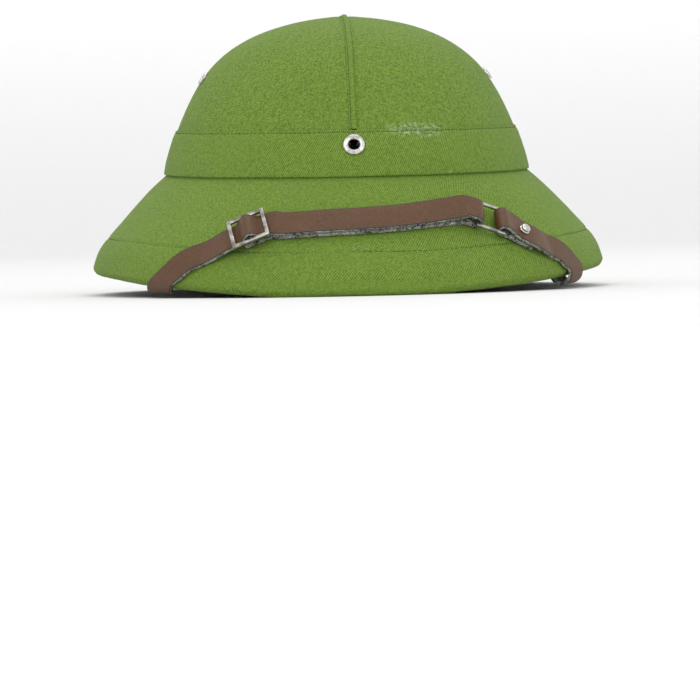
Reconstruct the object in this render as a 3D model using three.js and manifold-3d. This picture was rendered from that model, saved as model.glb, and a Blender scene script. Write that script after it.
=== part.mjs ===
// Pith helmet: pressed shell with its lining, twill covers, hat band, brim with a rolled edge,
// metal eyelets and a leather chin strap worn up over the front of the brim.
// Millimetres, +Z up, the front looks along -Y, and the brim rests on Z = 0.

import * as THREE from 'three';
import { mergeVertices } from 'three/addons/utils/BufferGeometryUtils.js';
import Module from 'manifold-3d';

// Brim outline, seen from above, and how its edge runs up towards the sides
const LENGTH = 297;
const WIDTH = 248;
const SIDE_LIFT = 10;
const LANDING = 16;

// Crown: its foot is an oval a little forward of the brim's middle and lower at the front
const CROWN_LENGTH = 216;
const CROWN_WIDTH = 176;
const CROWN_HEIGHT = 75.5;
const CROWN_FOOT = 57.5;
const CROWN_FORWARD = 5;
const CROWN_PITCH = 2.5;
const CROWN_FULLNESS = 0.02;
const CROWN_WAIST = 0.045;

// Walls and the clearance between pieces that lie on each other
const CLOTH = 1;
const SHELL_WALL = 3;
const GAP = 0.3;

// Rolled edge: the cloth is wrapped round the shell's rim and turned in below
const EDGE_TILT = 15;
const EDGE_FLAT = 15;

// Hat band, the lap of the two covers behind it, and the crown's seam
const BAND_WIDTH = 21.5;
const BAND_WALL = 1.2;
const BAND_LIFT = 0.5;
const COVER_LAP = 3;
const SEAM_WIDTH = 3;
const SEAM_RISE = 1.2;

// Eyelets: flange, barrel and hole radii, flange height
const BADGE_EYELET = { flange: 5.2, barrel: 3.1, hole: 2.45, height: 1.1, sides: 16 };
const VENT_EYELET = { flange: 3.4, barrel: 2.5, hole: 1.9, height: 0.9, sides: 10 };
const WASHER_WALL = 0.6;
const EYELET_SEAT = 0.8;
const BADGE_HEIGHT = 14.5;
const VENT_HEIGHT = 46.5;
const VENT_SPACING = 28;

// Chin strap and its metal
const STRAP_WIDTH = 12.6;
const STRAP_WALL = 2;
const STRAP_SIDE_GAP = 0.4;
const LAYER_GAP = 0.4;
const BEND_GAP = 0.5;
const SLIDE_LENGTH = 18;
const RING_LENGTH = 15;
const FRAME_BAR = 1.8;
const FRAME_WALL = 1.6;
const RING_BAR = 1.5;
const STUD_RADIUS = 2.8;
const STUD_RISE = 2.1;
const PIN_RADIUS = 1.4;
const PIN_HEAD = 4;
const PIN_HEAD_WALL = 1.2;
const PIN_DEPTH = 2;

// Steps round the hat
const STEPS_AROUND = 40;

const EDGE_RADIUS = SHELL_WALL / 2 + GAP + CLOTH;
const SHELL_FACE = CLOTH + GAP;
const LINING_FACE = SHELL_FACE + SHELL_WALL;
const UNDER_FACE = 2 * EDGE_RADIUS;

// Brim from the crown's foot to its edge, as shares of the brim's overhang and of its drop
const BRIM_SECTIONS = [
  { out: 0.0, down: 0.0 },
  { out: 0.2, down: 0.145 },
  { out: 0.4, down: 0.31 },
  { out: 0.6, down: 0.485 },
  { out: 0.8, down: 0.67 },
  { out: 0.92, down: 0.82 },
  { out: 1.0, down: 1.0 },
];
const BRIM_CURVE = new THREE.SplineCurve(
  BRIM_SECTIONS.map((section) => new THREE.Vector2(section.out, section.down)),
);
const BRIM_STEPS = BRIM_SECTIONS.length - 1;

// Crown rows, as shares of the climb from the band's top to the crown's top
const CROWN_ROWS = [1, 0.86, 0.72, 0.58, 0.43, 0.28, 0.14, 0];

// Places on the hat are a turn round it in degrees, 0 at the front and 90 at the right, and a
// place on its outline: -1 the crown's top, 0 the crown's foot, 1 the start of the rolled edge.

const UP = new THREE.Vector3(0, 0, 1);
const radians = THREE.MathUtils.degToRad;

function riseAt(height) {
  return Math.asin(height / CROWN_HEIGHT) / (Math.PI / 2);
}

function crownPoint(turn, rise) {
  const lean = rise * Math.PI / 2;
  const swell = 1 + CROWN_FULLNESS * Math.sin(2 * lean) - CROWN_WAIST * Math.sin(4 * lean);
  const reach = Math.cos(lean) * swell;
  const across = CROWN_WIDTH / 2 * reach * Math.sin(radians(turn));
  const along = -CROWN_LENGTH / 2 * reach * Math.cos(radians(turn));
  const pitch = Math.tan(radians(CROWN_PITCH)) * along;
  const height = CROWN_FOOT + pitch + CROWN_HEIGHT * Math.sin(lean);
  return new THREE.Vector3(across, along - CROWN_FORWARD, height);
}

function sideLift(turn) {
  const flat = Math.sin(radians(LANDING)) ** 2;
  const share = (Math.sin(radians(turn)) ** 2 - flat) / (1 - flat);
  return SIDE_LIFT * Math.max(0, share);
}

// Middle of the rolled edge, its outward direction and its direction on round the edge
function edgeAxes(turn) {
  const s = Math.sin(radians(turn));
  const c = Math.cos(radians(turn));
  const level = new THREE.Vector3(LENGTH * s, -WIDTH * c, 0).normalize();
  const tilt = radians(EDGE_TILT);
  const foot = EDGE_RADIUS * Math.cos(radians(EDGE_FLAT));
  const middle = new THREE.Vector3(
    (WIDTH / 2 - EDGE_RADIUS) * s,
    -(LENGTH / 2 - EDGE_RADIUS) * c,
    foot + sideLift(turn),
  );
  const out = level.clone().multiplyScalar(Math.cos(tilt)).addScaledVector(UP, Math.sin(tilt));
  const down = level.clone().multiplyScalar(Math.sin(tilt)).addScaledVector(UP, -Math.cos(tilt));
  return { middle, out, down };
}

function edgePoint(turn, angle, radius) {
  const { middle, out, down } = edgeAxes(turn);
  const a = radians(angle);
  return middle.addScaledVector(out, radius * Math.cos(a)).addScaledVector(down, radius * Math.sin(a));
}

function brimPoint(turn, share) {
  const foot = crownPoint(turn, 0);
  const edge = edgePoint(turn, 0, EDGE_RADIUS);
  const place = BRIM_CURVE.getPoint(share);
  return new THREE.Vector3(
    THREE.MathUtils.lerp(foot.x, edge.x, place.x),
    THREE.MathUtils.lerp(foot.y, edge.y, place.x),
    THREE.MathUtils.lerp(foot.z, edge.z, place.y),
  );
}

function skinPoint(turn, place) {
  return place < 0 ? crownPoint(turn, -place) : brimPoint(turn, place);
}

function skinNormal(turn, above, below) {
  const middle = (above + below) / 2;
  const around = skinPoint(turn + 1, middle).sub(skinPoint(turn - 1, middle));
  const along = skinPoint(turn, Math.min(below, 1)).sub(skinPoint(turn, Math.max(above, -1)));
  return along.cross(around).normalize();
}

// A point a given depth below the outer face, with mitred corners so that walls keep their width
function wallPoint(turn, place, depth) {
  if (place <= -1) {
    return crownPoint(turn, 1).addScaledVector(UP, -depth);
  }
  const step = 0.01;
  const above = skinNormal(turn, place - step, place);
  const below = skinNormal(turn, place, place + step);
  const mitre = above.clone().add(below).divideScalar(1 + above.dot(below));
  return skinPoint(turn, place).addScaledVector(mitre, -depth);
}

// Closed surfaces from rows of section points
function closedSurface(sections, isRing) {
  const size = sections[0].length;
  const positions = sections.flat().flatMap((point) => point.toArray());
  const triangles = [];
  const spans = isRing ? sections.length : sections.length - 1;
  for (let i = 0; i < spans; i += 1) {
    const next = (i + 1) % sections.length;
    for (let j = 0; j < size; j += 1) {
      const after = (j + 1) % size;
      const corners = [i * size + j, next * size + j, next * size + after, i * size + after];
      triangles.push([corners[0], corners[1], corners[2]], [corners[0], corners[2], corners[3]]);
    }
  }
  if (!isRing) {
    const last = (sections.length - 1) * size;
    for (let j = 1; j < size - 1; j += 1) {
      triangles.push([0, j, j + 1], [last, last + j + 1, last + j]);
    }
  }
  const raw = new THREE.BufferGeometry();
  raw.setAttribute('position', new THREE.Float32BufferAttribute(positions, 3));
  raw.setIndex(triangles.flat());
  return facingOut(mergeVertices(raw));
}

// Drops the triangles that close to nothing at a pole, and turns an inside-out surface round
function facingOut(geometry) {
  const index = geometry.getIndex().array;
  const position = geometry.getAttribute('position');
  const a = new THREE.Vector3();
  const b = new THREE.Vector3();
  const c = new THREE.Vector3();
  const kept = [];
  let volume = 0;
  for (let k = 0; k < index.length; k += 3) {
    const [i, j, l] = [index[k], index[k + 1], index[k + 2]];
    if (i === j || j === l || l === i) {
      continue;
    }
    kept.push([i, j, l]);
    a.fromBufferAttribute(position, i);
    b.fromBufferAttribute(position, j);
    c.fromBufferAttribute(position, l);
    volume += a.dot(b.cross(c));
  }
  geometry.setIndex(kept.map((corners) => (volume < 0 ? corners.reverse() : corners)).flat());
  return geometry;
}

const wasm = await Module();
wasm.setup();

function toSolid(geometry) {
  const bare = geometry.clone();
  bare.deleteAttribute('normal');
  bare.deleteAttribute('uv');
  const merged = mergeVertices(bare);
  return new wasm.Manifold(new wasm.Mesh({
    numProp: 3,
    vertProperties: new Float32Array(merged.getAttribute('position').array),
    triVerts: new Uint32Array(merged.getIndex().array),
  }));
}

function toGeometry(solid) {
  const mesh = solid.getMesh();
  const geometry = new THREE.BufferGeometry();
  geometry.setAttribute('position', new THREE.Float32BufferAttribute(mesh.vertProperties, 3));
  geometry.setIndex(Array.from(mesh.triVerts));
  return geometry;
}

function cut(geometry, tools) {
  return toGeometry(tools.reduce((solid, tool) => solid.subtract(toSolid(tool)), toSolid(geometry)));
}

// Sections round the hat
function aroundHat(outline) {
  const sections = [];
  for (let i = 0; i < STEPS_AROUND; i += 1) {
    sections.push(outline(i * 360 / STEPS_AROUND));
  }
  return closedSurface(sections, true);
}

const BAND_TOP = riseAt(BAND_WIDTH);
const crownRises = CROWN_ROWS.map((share) => BAND_TOP + (1 - BAND_TOP) * share);

function brimShares(from, to) {
  const shares = [];
  for (let k = from; k <= to; k += 1) {
    shares.push(k / BRIM_STEPS);
  }
  return shares;
}

// Round the rolled edge, with one level facet at its lowest place
function edgeAngles() {
  const lowest = 90 + EDGE_TILT;
  const start = lowest - EDGE_FLAT;
  const end = lowest + EDGE_FLAT;
  return [0, start / 3, start * 2 / 3, start, end, (end + 180) / 2, 180];
}

function wallOutline(turn, places, outer, inner) {
  const outside = places.map((place) => wallPoint(turn, place, outer));
  const inside = places.map((place) => wallPoint(turn, place, inner));
  return [...outside, ...inside.reverse()];
}

// Local axes of a piece that is set on the hat at a place, with its X along the strap's run
function seatMatrix(turn, place, lift, run = 0) {
  const out = skinNormal(turn, place - 0.02, place + 0.02);
  const along = skinPoint(turn + 0.5, place + 0.5 * run).sub(skinPoint(turn - 0.5, place - 0.5 * run));
  const across = out.clone().cross(along).normalize();
  const axes = new THREE.Matrix4().makeBasis(across.clone().cross(out), across, out);
  return axes.setPosition(skinPoint(turn, place).addScaledVector(out, lift));
}

function turned(profile, sides) {
  const points = profile.map(([radius, height]) => new THREE.Vector2(radius, height));
  return facingOut(strip(new THREE.LatheGeometry(points, sides).rotateX(Math.PI / 2)));
}

function strip(geometry) {
  geometry.deleteAttribute('normal');
  geometry.deleteAttribute('uv');
  return mergeVertices(geometry);
}

function borer(matrix, radius, sides, reach) {
  const tool = new THREE.CylinderGeometry(radius, radius, 2 * reach, sides).rotateX(Math.PI / 2);
  return tool.applyMatrix4(matrix);
}

// Finishes
function finish(colour, roughness, metalness) {
  return new THREE.MeshStandardMaterial({ color: colour, roughness, metalness });
}

const twill = finish(0x728f3c, 0.85, 0);
const seamTwill = finish(0x6a8836, 0.85, 0);
const liningCloth = finish(0x6b6350, 0.9, 0);
const leather = finish(0x5f4438, 0.5, 0);
const nickel = finish(0xb9b6b0, 0.3, 1);

const helmet = new THREE.Group();
helmet.name = 'pith_helmet';

function add(name, geometry, material, matrix = new THREE.Matrix4()) {
  const mesh = new THREE.Mesh(geometry, material);
  mesh.name = name;
  mesh.applyMatrix4(matrix);
  helmet.add(mesh);
}

// Places of the eyelets
const badgePlace = -riseAt(BADGE_HEIGHT);
const badgeSeat = seatMatrix(0, badgePlace, 0);

function ventTurn(height) {
  const half = CROWN_LENGTH / 2 * Math.cos(riseAt(height) * Math.PI / 2);
  return THREE.MathUtils.radToDeg(Math.asin(VENT_SPACING / 2 / half));
}

const VENTS = [
  { name: 'vent_eyelet_right_front', turn: 90 - ventTurn(VENT_HEIGHT) },
  { name: 'vent_eyelet_right_rear', turn: 90 + ventTurn(VENT_HEIGHT) },
  { name: 'vent_eyelet_left_rear', turn: 270 - ventTurn(VENT_HEIGHT) },
  { name: 'vent_eyelet_left_front', turn: 270 + ventTurn(VENT_HEIGHT) },
];
const ventPlace = -riseAt(VENT_HEIGHT);

function eyeletHole(matrix, eyelet) {
  return borer(matrix, eyelet.barrel + GAP, eyelet.sides, LINING_FACE * 2);
}

const badgeHole = eyeletHole(badgeSeat, BADGE_EYELET);
const ventHoles = VENTS.map(({ turn }) => eyeletHole(seatMatrix(turn, ventPlace, 0), VENT_EYELET));

// The strap ends are pinned inside the crown's wall
const PIN_TURN = 66;
const PIN_RISE = 0.15;

function pinSeat(turn) {
  const seat = seatMatrix(turn, -PIN_RISE, -LINING_FACE);
  return seat.multiply(new THREE.Matrix4().makeRotationX(Math.PI));
}

function pinHole(turn) {
  const hole = new THREE.CylinderGeometry(PIN_RADIUS + GAP, PIN_RADIUS + GAP, 4 * PIN_DEPTH, 12);
  hole.rotateX(Math.PI / 2).translate(0, 0, 2 * PIN_DEPTH - PIN_DEPTH - GAP);
  return hole.applyMatrix4(pinSeat(turn));
}

// Shell with its lining: crown and brim in one wall, rounded at the rim
const shellPlaces = [
  ...crownRises.map((rise) => -rise),
  -BAND_TOP / 2,
  ...brimShares(0, BRIM_STEPS - 1),
];

function shellOutline(turn) {
  const outside = shellPlaces.map((place) => wallPoint(turn, place, SHELL_FACE));
  const inside = shellPlaces.map((place) => wallPoint(turn, place, LINING_FACE));
  const rim = edgeAngles().map((angle) => edgePoint(turn, angle, SHELL_WALL / 2));
  return [...outside, ...rim, ...inside.reverse()];
}

const shell = aroundHat(shellOutline);
add('lined_shell', cut(shell, [badgeHole, ...ventHoles, pinHole(-PIN_TURN), pinHole(PIN_TURN)]), liningCloth);

// Crown covers: two halves of twill that meet at the seam
const lapPlace = -riseAt(COVER_LAP);
const coverPlaces = [...crownRises.map((rise) => -rise), -BAND_TOP / 2, lapPlace];
const crownCover = cut(
  aroundHat((turn) => wallOutline(turn, coverPlaces, 0, CLOTH)),
  [badgeHole, ...ventHoles],
);

function crownHalf(side) {
  const block = new THREE.BoxGeometry(WIDTH, 2 * LENGTH, 2 * LENGTH);
  block.translate(side * (WIDTH / 2 + SEAM_WIDTH / 2 + GAP), 0, 0);
  return toGeometry(toSolid(crownCover).intersect(toSolid(block)));
}

add('crown_cover_left', crownHalf(-1), twill);
add('crown_cover_right', crownHalf(1), twill);

// Crown seam: the turned edges of the two halves, a ridge from the band at the front to the back
const seamPlaces = crownRises.map((rise) => -Math.max(rise, riseAt(BAND_WIDTH + GAP)));
const seamBlock = new THREE.BoxGeometry(SEAM_WIDTH, 2 * LENGTH, 4 * CROWN_HEIGHT);
const seamRidge = toSolid(aroundHat((turn) => wallOutline(turn, seamPlaces, -SEAM_RISE, CLOTH)));
add('crown_seam', toGeometry(seamRidge.intersect(toSolid(seamBlock))), seamTwill);

// Hat band: a folded strip of twill round the crown's foot
const bandPlaces = [-BAND_TOP, -BAND_TOP / 2, -riseAt(BAND_LIFT)];
const band = aroundHat((turn) => wallOutline(turn, bandPlaces, -GAP - BAND_WALL, -GAP));
add('hat_band', cut(band, [badgeHole]), twill);

// Brim cover: twill over the brim, round the edge and turned in below
const coverTop = -riseAt(COVER_LAP - GAP);

function brimCoverOutline(turn) {
  const places = [coverTop, ...brimShares(0, BRIM_STEPS - 1)];
  const hem = places[places.length - 1];
  const face = (depth) => places.map((place) => wallPoint(turn, place, depth));
  const round = (radius) => edgeAngles().map((angle) => edgePoint(turn, angle, radius));
  const outer = [...face(0), ...round(EDGE_RADIUS), wallPoint(turn, hem, UNDER_FACE)];
  const inner = [...face(CLOTH), ...round(EDGE_RADIUS - CLOTH), wallPoint(turn, hem, UNDER_FACE - CLOTH)];
  return [...outer, ...inner.reverse()];
}

add('brim_cover', aroundHat(brimCoverOutline), twill);

// Eyelets: a rolled flange outside, a barrel through the wall and a washer inside
function eyeletProfile(eyelet, seat) {
  const top = seat + eyelet.height;
  const bottom = -LINING_FACE - EYELET_SEAT;
  const crest = (eyelet.flange + eyelet.hole) / 2;
  const ledge = (eyelet.flange - eyelet.hole) / 5;
  return [
    [eyelet.hole, bottom - WASHER_WALL],
    [eyelet.flange, bottom - WASHER_WALL],
    [eyelet.flange, bottom],
    [eyelet.barrel, bottom],
    [eyelet.barrel, seat],
    [eyelet.flange, seat],
    [eyelet.flange, seat + eyelet.height / 2],
    [crest + ledge, top],
    [crest - ledge, top],
    [eyelet.hole, seat + eyelet.height / 2],
    [eyelet.hole, bottom - WASHER_WALL],
  ];
}

const bandFace = GAP + BAND_WALL;
const badgeProfile = eyeletProfile(BADGE_EYELET, bandFace + GAP);
add('front_eyelet', turned(badgeProfile, BADGE_EYELET.sides), nickel, badgeSeat);
for (const { name, turn } of VENTS) {
  const profile = eyeletProfile(VENT_EYELET, GAP);
  add(name, turned(profile, VENT_EYELET.sides), nickel, seatMatrix(turn, ventPlace, 0));
}

// Chin strap. Its route is a turn round the hat and a place: 0 to 1 on top of the brim, 1 to 2
// round the edge, 2 to 3 back under the brim and from 3 up inside the crown. Lift is the space
// under the strap, and ruled says how far its cross lines follow the edge, not its own run.
const BARE_LIFT = 0.4;
const EDGE_SLACK = 0.7;
const STACKED_LIFT = BARE_LIFT + STRAP_WALL + LAYER_GAP;
const BAR_LIFT = STACKED_LIFT + STRAP_WALL + BEND_GAP;
const HUMP_RISE = BAR_LIFT + FRAME_WALL + BEND_GAP - STACKED_LIFT;
const FOLD_RADIUS = RING_BAR / Math.SQRT2 + BEND_GAP + STRAP_WALL / 2;
const RING_CENTRE = BARE_LIFT + STRAP_WALL / 2 + FOLD_RADIUS;
const RING_LIFT = RING_CENTRE + FOLD_RADIUS - STRAP_WALL / 2;

const SLIDE = { turn: -24.75, at: 0.545, run: -0.0164 };
const RING = { turn: 32.6, at: 0.485, run: 0.015 };

const LONG_START = [
  { turn: -PIN_TURN - 1.2, at: 3.215, lift: BARE_LIFT, ruled: 0 },
  { turn: -PIN_TURN, at: 3 + PIN_RISE, lift: BARE_LIFT, ruled: 0 },
  { turn: -64.8, at: 3.07, lift: BARE_LIFT, ruled: 0 },
  { turn: -63.8, at: 3.0, lift: EDGE_SLACK, ruled: 0 },
  { turn: -62.5, at: 2.9, lift: EDGE_SLACK, ruled: 0 },
  { turn: -59.5, at: 2.65, lift: BARE_LIFT, ruled: 0 },
  { turn: -56.0, at: 2.4, lift: BARE_LIFT, ruled: 0.1 },
  { turn: -52.5, at: 2.15, lift: EDGE_SLACK, ruled: 0.7 },
  { turn: -50.1, at: 2.0, lift: EDGE_SLACK, ruled: 1 },
  { turn: -48.7, at: 1.75, lift: EDGE_SLACK, ruled: 1 },
  { turn: -47.2, at: 1.5, lift: EDGE_SLACK, ruled: 1 },
  { turn: -45.7, at: 1.25, lift: EDGE_SLACK, ruled: 1 },
  { turn: -44.2, at: 1.0, lift: EDGE_SLACK, ruled: 1 },
  { turn: -43.0, at: 0.95, lift: EDGE_SLACK, ruled: 0.9 },
  { turn: -41.0, at: 0.88, lift: EDGE_SLACK, ruled: 0.6 },
  { turn: -38.0, at: 0.79, lift: EDGE_SLACK, ruled: 0.25 },
  { turn: -34.8, at: 0.72, lift: BARE_LIFT, ruled: 0 },
];

const FRONT_RUN = [
  { turn: -17.0, at: 0.475, opened: 0 },
  { turn: -8.0, at: 0.457, opened: 0 },
  { turn: 1.0, at: 0.445, opened: 0 },
  { turn: 10.0, at: 0.427, opened: 0 },
  { turn: 17.5, at: 0.406, opened: 0.15 },
  { turn: 24.0, at: 0.396, opened: 0.5 },
];

const SHORT_STACK = [
  { turn: 38.0, at: 0.568, opened: 0.35 },
  { turn: 40.1, at: 0.622, opened: 0 },
  { turn: 42.3, at: 0.675, opened: 0 },
];
const STUD = SHORT_STACK[1];

const SHORT_END = [
  { turn: 44.6, at: 0.725, lift: STACKED_LIFT * 0.7, ruled: 0 },
  { turn: 47.0, at: 0.77, lift: EDGE_SLACK, ruled: 0 },
  { turn: 49.3, at: 0.82, lift: EDGE_SLACK, ruled: 0.3 },
  { turn: 51.4, at: 0.885, lift: EDGE_SLACK, ruled: 0.7 },
  { turn: 52.8, at: 0.95, lift: 1.0, ruled: 1 },
  { turn: 53.6, at: 1.0, lift: 1.2, ruled: 1 },
  { turn: 54.0, at: 1.25, lift: 1.7, ruled: 1 },
  { turn: 54.4, at: 1.5, lift: 2.1, ruled: 1 },
  { turn: 54.8, at: 1.75, lift: 2.5, ruled: 1 },
  { turn: 55.2, at: 2.0, lift: 2.6, ruled: 1 },
  { turn: 56.2, at: 2.15, lift: 2.0, ruled: 0.7 },
  { turn: 58.2, at: 2.4, lift: 1.2, ruled: 0.1 },
  { turn: 60.8, at: 2.65, lift: BARE_LIFT, ruled: 0 },
  { turn: 63.0, at: 2.9, lift: EDGE_SLACK, ruled: 0 },
  { turn: 63.9, at: 3.0, lift: EDGE_SLACK, ruled: 0 },
  { turn: 64.8, at: 3.07, lift: BARE_LIFT, ruled: 0 },
  { turn: PIN_TURN, at: 3 + PIN_RISE, lift: BARE_LIFT, ruled: 0 },
  { turn: PIN_TURN + 1.2, at: 3.215, lift: BARE_LIFT, ruled: 0 },
];

// Outward direction and point at a height above the wrapped hat, anywhere along the route
function hatFace(turn, at) {
  const blend = 0.04;
  if (at <= 1) {
    return { point: skinPoint(turn, at), out: skinNormal(turn, at - blend, Math.min(1, at + blend)) };
  }
  if (at < 2) {
    const angle = (at - 1) * 180;
    const point = edgePoint(turn, angle, EDGE_RADIUS);
    return { point, out: point.clone().sub(edgeAxes(turn).middle).normalize() };
  }
  const place = 3 - at;
  const out = skinNormal(turn, place - blend, Math.min(1, place + blend)).negate();
  return { point: skinPoint(turn, place).addScaledVector(out, UNDER_FACE), out };
}

function rimDirection(turn) {
  const before = edgeAxes(turn - 1).middle;
  return edgeAxes(turn + 1).middle.sub(before).normalize();
}

// One cross line of the strap: its middle, the side its grain faces, and the edge's direction
function strapLine({ turn, at, lift, ruled = 0 }, faceDown = false) {
  const { point, out } = hatFace(turn, at);
  const middle = point.addScaledVector(out, lift + STRAP_WALL / 2);
  return { middle, out: faceDown ? out.negate() : out, rim: rimDirection(turn), ruled };
}

function smoothValue(before, start, end, after, t) {
  const rise = (end - before) / 2;
  const fall = (after - start) / 2;
  const bend = 2 * start - 2 * end + rise + fall;
  const bow = -3 * start + 3 * end - 2 * rise - fall;
  return ((bend * t + bow) * t + rise) * t + start;
}

function smoothRows(rows) {
  const finer = [];
  for (let i = 0; i < rows.length - 1; i += 1) {
    const near = [rows[Math.max(i - 1, 0)], rows[i], rows[i + 1], rows[Math.min(i + 2, rows.length - 1)]];
    const between = {};
    for (const key of ['turn', 'at', 'lift', 'ruled']) {
      between[key] = smoothValue(...near.map((row) => row[key] ?? 0), 0.5);
    }
    finer.push(rows[i], between);
  }
  finer.push(rows[rows.length - 1]);
  return finer;
}

// A row measured in millimetres along the strap from the middle of the slide or the ring
function rowFrom(frame, distance, lift) {
  const ahead = skinPoint(frame.turn + 0.5, frame.at + 0.5 * frame.run);
  const length = ahead.distanceTo(skinPoint(frame.turn - 0.5, frame.at - 0.5 * frame.run));
  const turn = frame.turn + distance / length;
  return { turn, at: frame.at + (turn - frame.turn) * frame.run, lift, ruled: 0 };
}

// Over the slide's middle bar and under its outer ones
const slidePitch = (SLIDE_LENGTH - FRAME_BAR) / 2;
const HUMP = [-1.35, -1, -0.8, -0.6, -0.4, -0.2, 0, 0.2, 0.4, 0.6, 0.8, 1, 1.35];

function humpRow(share) {
  const wave = Math.abs(share) < 0.8 ? 0.5 + 0.5 * Math.cos(Math.PI * share / 0.8) : 0;
  return rowFrom(SLIDE, share * slidePitch, STACKED_LIFT + HUMP_RISE * wave);
}

const ringReach = (RING_LENGTH - RING_BAR) / 2;

// Round a cross bar of the ring, from the upper layer to the lower one or back
function foldLines(side, fromTop) {
  const barDistance = -side * ringReach;
  const row = rowFrom(RING, barDistance, 0);
  const { point, out } = hatFace(row.turn, row.at);
  const ahead = skinPoint(row.turn + 0.5, row.at + 0.5 * RING.run);
  const along = ahead.sub(skinPoint(row.turn - 0.5, row.at - 0.5 * RING.run)).normalize();
  const centre = point.addScaledVector(out, RING_CENTRE);
  const lines = [60, 30, 0, -30, -60].map((angle) => {
    const a = radians(angle);
    const facing = out.clone().multiplyScalar(Math.sin(a)).addScaledVector(along, side * Math.cos(a));
    const middle = centre.clone().addScaledVector(facing, FOLD_RADIUS);
    return { middle, out: facing, rim: rimDirection(row.turn), ruled: 0 };
  });
  return fromTop ? lines : lines.reverse();
}

function upperLift(opened) {
  return STACKED_LIFT + (RING_LIFT - STACKED_LIFT) * opened;
}

// A strap from its cross lines, each a flat rectangle of the strap's width and thickness
function ribbon(lines) {
  const sections = lines.map((line, i) => {
    const ahead = lines[Math.min(i + 1, lines.length - 1)].middle.clone();
    const run = ahead.sub(lines[Math.max(i - 1, 0)].middle).normalize();
    const across = run.clone().cross(line.out).normalize();
    const rim = line.rim.clone().multiplyScalar(Math.sign(across.dot(line.rim)) * line.ruled);
    const ruling = across.clone().multiplyScalar(1 - line.ruled).add(rim).normalize();
    const half = STRAP_WIDTH / 2 / run.clone().cross(ruling).length();
    const corner = (side, face) => line.middle.clone()
      .addScaledVector(ruling, side * half)
      .addScaledVector(line.out, face * STRAP_WALL / 2);
    return [corner(-1, -1), corner(1, -1), corner(1, 1), corner(-1, 1)];
  });
  return closedSurface(sections, false);
}

const frontRows = [
  humpRow(HUMP[HUMP.length - 1]),
  ...FRONT_RUN.map((row) => ({ ...row, lift: upperLift(row.opened), ruled: 0 })),
  rowFrom(RING, -ringReach - STRAP_WIDTH / 2, upperLift(0.8)),
  rowFrom(RING, -ringReach - FOLD_RADIUS, RING_LIFT),
  rowFrom(RING, -ringReach, RING_LIFT),
];
const upperRows = [
  ...smoothRows([...LONG_START, humpRow(HUMP[0])]),
  ...HUMP.slice(1, -1).map(humpRow),
  ...smoothRows(frontRows),
];
const lowerRows = [
  rowFrom(RING, -ringReach, BARE_LIFT),
  rowFrom(RING, -ringReach - STRAP_WIDTH / 2, BARE_LIFT),
  ...FRONT_RUN.map((row) => ({ ...row, lift: BARE_LIFT, ruled: 0 })).reverse(),
  rowFrom(SLIDE, slidePitch, BARE_LIFT),
  rowFrom(SLIDE, -slidePitch / 2, BARE_LIFT),
];
const longLines = [
  ...upperRows.map((row) => strapLine(row)),
  ...foldLines(1, true),
  ...smoothRows(lowerRows).map((row) => strapLine(row, true)),
];
add('strap_long', cut(ribbon(longLines), [pinHole(-PIN_TURN)]), leather);

// Short strap: folded round the ring, closed by the stud, over the brim and up inside
const shortLower = [
  { ...SHORT_STACK[2], lift: BARE_LIFT, ruled: 0 },
  { ...SHORT_STACK[1], lift: BARE_LIFT, ruled: 0 },
  { ...SHORT_STACK[0], lift: BARE_LIFT, ruled: 0 },
  rowFrom(RING, ringReach, BARE_LIFT),
];
const shortUpper = [
  rowFrom(RING, ringReach, RING_LIFT),
  ...SHORT_STACK.map((row) => ({ ...row, lift: upperLift(row.opened), ruled: 0 })),
  ...SHORT_END,
];
const shortLines = [
  ...smoothRows(shortLower).map((row) => strapLine(row, true)),
  ...foldLines(-1, false),
  ...smoothRows(shortUpper).map((row) => strapLine(row)),
];
const studSeat = seatMatrix(STUD.turn, STUD.at, 0);
const studHole = borer(studSeat, PIN_RADIUS + GAP, 12, 3 * STACKED_LIFT);
add('strap_short', cut(ribbon(shortLines), [studHole, pinHole(PIN_TURN)]), leather);

// Slide and ring: flat rectangular frames, the slide with a middle bar
function plainFrame({ length, bars, bar, wall }) {
  const window = STRAP_WIDTH + 2 * STRAP_SIDE_GAP;
  const plate = new THREE.BoxGeometry(length, window + 2 * bar, wall);
  const pitch = (length - bar) / (bars - 1);
  const windows = [];
  for (let k = 0; k < bars - 1; k += 1) {
    const middle = -length / 2 + bar / 2 + (k + 0.5) * pitch;
    windows.push(new THREE.BoxGeometry(pitch - bar, window, 2 * wall).translate(middle, 0, 0));
  }
  return cut(plate, windows);
}

const slideLift = BAR_LIFT + FRAME_WALL / 2;
const slide = plainFrame({ length: SLIDE_LENGTH, bars: 3, bar: FRAME_BAR, wall: FRAME_WALL });
const ring = plainFrame({ length: RING_LENGTH, bars: 2, bar: RING_BAR, wall: RING_BAR });
add('strap_slide', slide, nickel, seatMatrix(SLIDE.turn, SLIDE.at, slideLift, SLIDE.run));
add('strap_ring', ring, nickel, seatMatrix(RING.turn, RING.at, RING_CENTRE, RING.run));

// Stud: a domed head on a post through both layers of the short strap
function domeProfile(radius, rise, base, steps) {
  const points = [];
  for (let k = 0; k <= steps; k += 1) {
    const a = k / steps * Math.PI / 2;
    points.push([radius * Math.cos(a), base + rise * Math.sin(a)]);
  }
  return points;
}

const studBase = STACKED_LIFT + STRAP_WALL + BEND_GAP;
const studProfile = [
  [0, BARE_LIFT],
  [PIN_RADIUS, BARE_LIFT],
  [PIN_RADIUS, studBase],
  ...domeProfile(STUD_RADIUS, STUD_RISE, studBase, 4),
];
add('strap_stud', turned(studProfile, 12), nickel, studSeat);

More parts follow.
